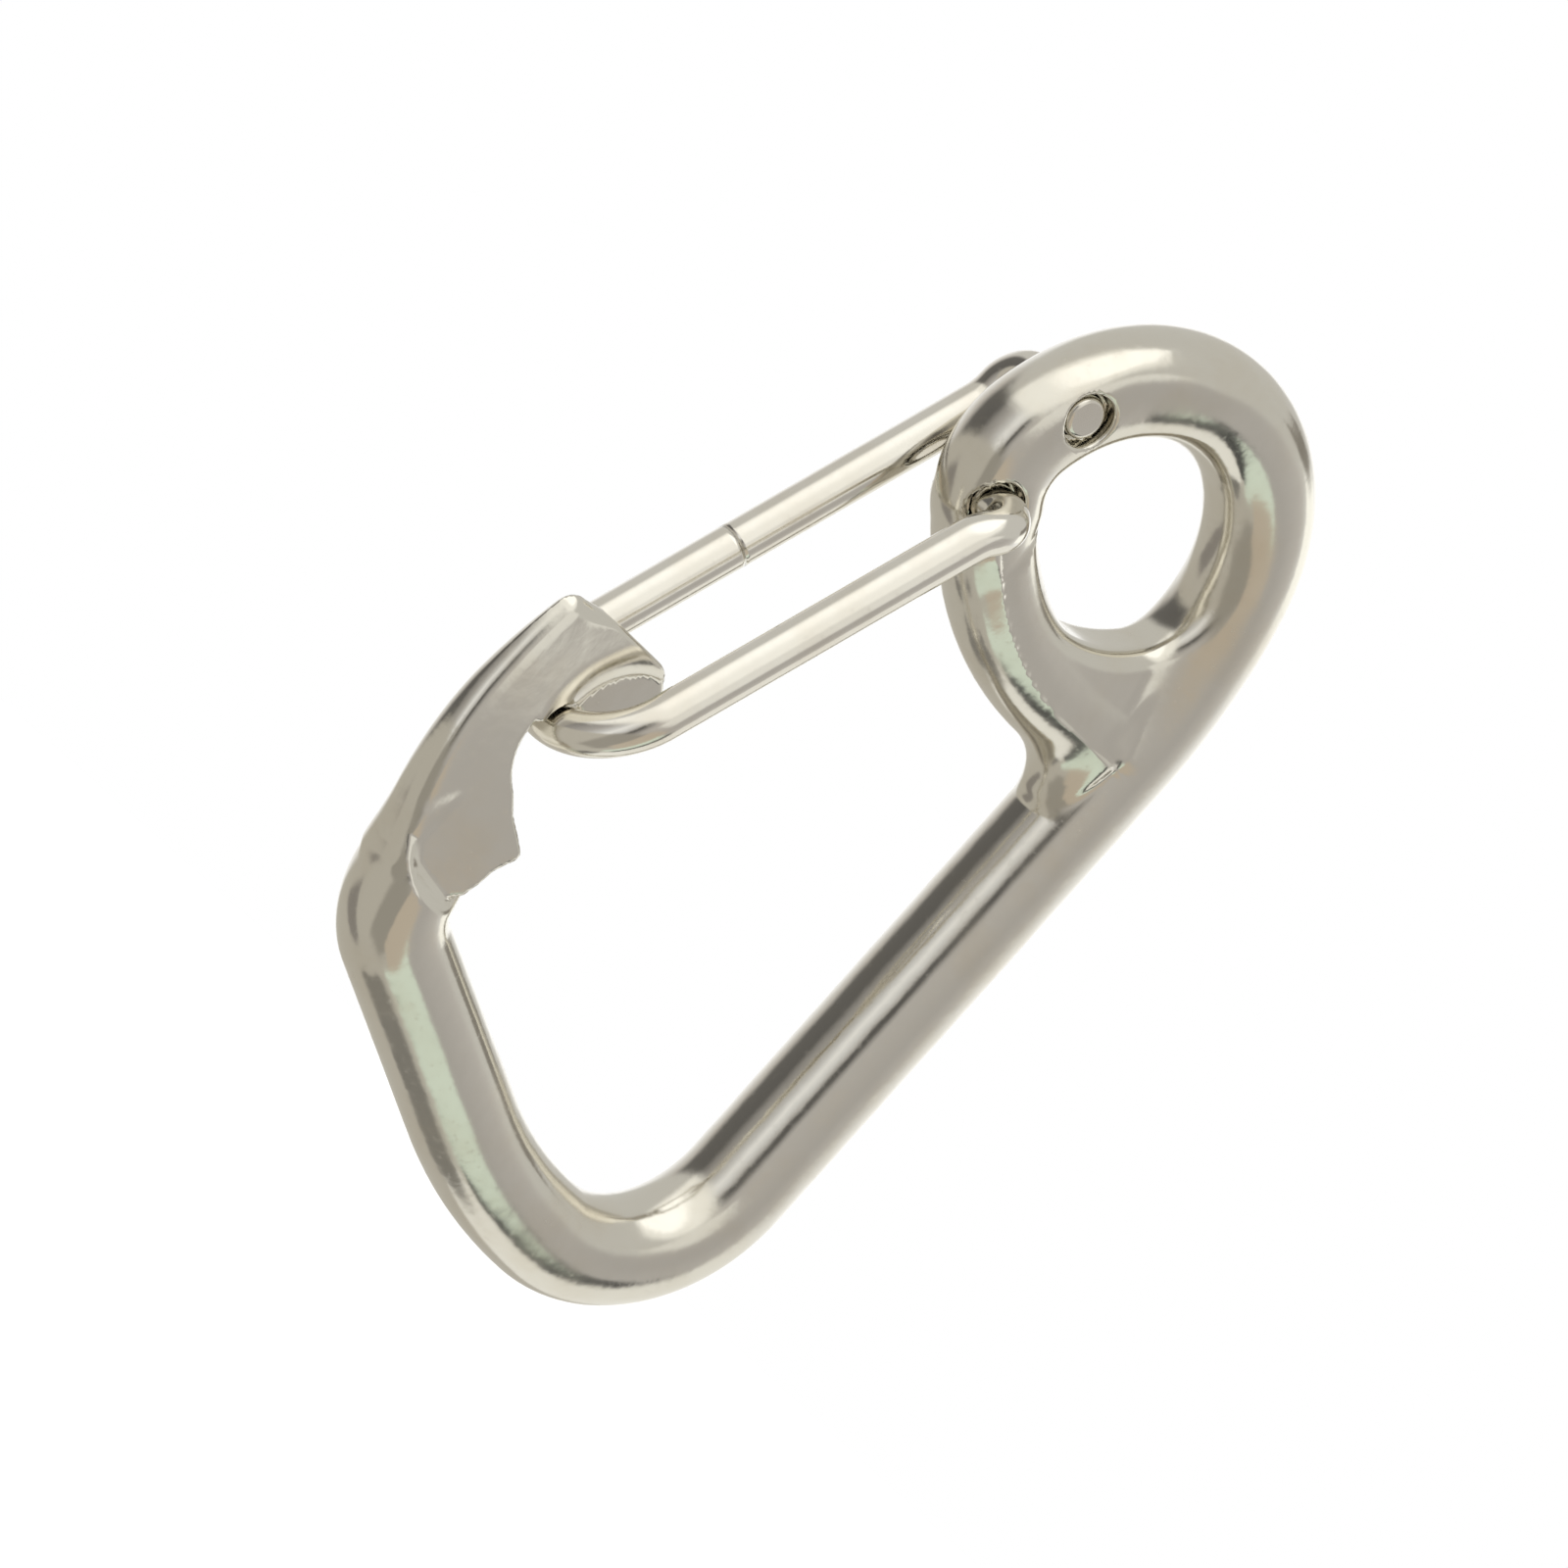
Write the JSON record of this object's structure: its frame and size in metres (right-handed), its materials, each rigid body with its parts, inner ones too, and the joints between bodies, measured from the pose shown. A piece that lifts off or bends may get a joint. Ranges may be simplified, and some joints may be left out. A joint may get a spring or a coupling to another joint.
{
  "type": "eye snap hook",
  "caption": "Polished stainless eye hook bent from one round bar, closed by a sprung wire gate that folds inwards.",
  "frame": {"origin": "inside the eye, 10 mm from the centre line of the straight spine, halfway through the bar's thickness", "axes": "+Z from the bowl towards the eye, -X towards the gate and the nose, -Y towards the front face"},
  "size_m": [0.0403, 0.0112, 0.0603],
  "materials": {
    "polished_steel": "polished stainless steel",
    "spring_wire": "polished stainless spring wire"
  },
  "bodies": {
    "hook": {"hook_body": "polished_steel", "wire_gate_tail": "spring_wire"},
    "gate": {"wire_gate": "spring_wire"}
  },
  "joints": [
    {"name": "gate_hinge", "type": "hinge", "parent": "hook", "child": "gate", "pos_m": [-0.01033, 0, -0.00159], "axis": [0, -1, 0], "range_deg": [0, 35], "stiffness_Nm_per_rad": 0.05, "springref_deg": -11.46}
  ]
}
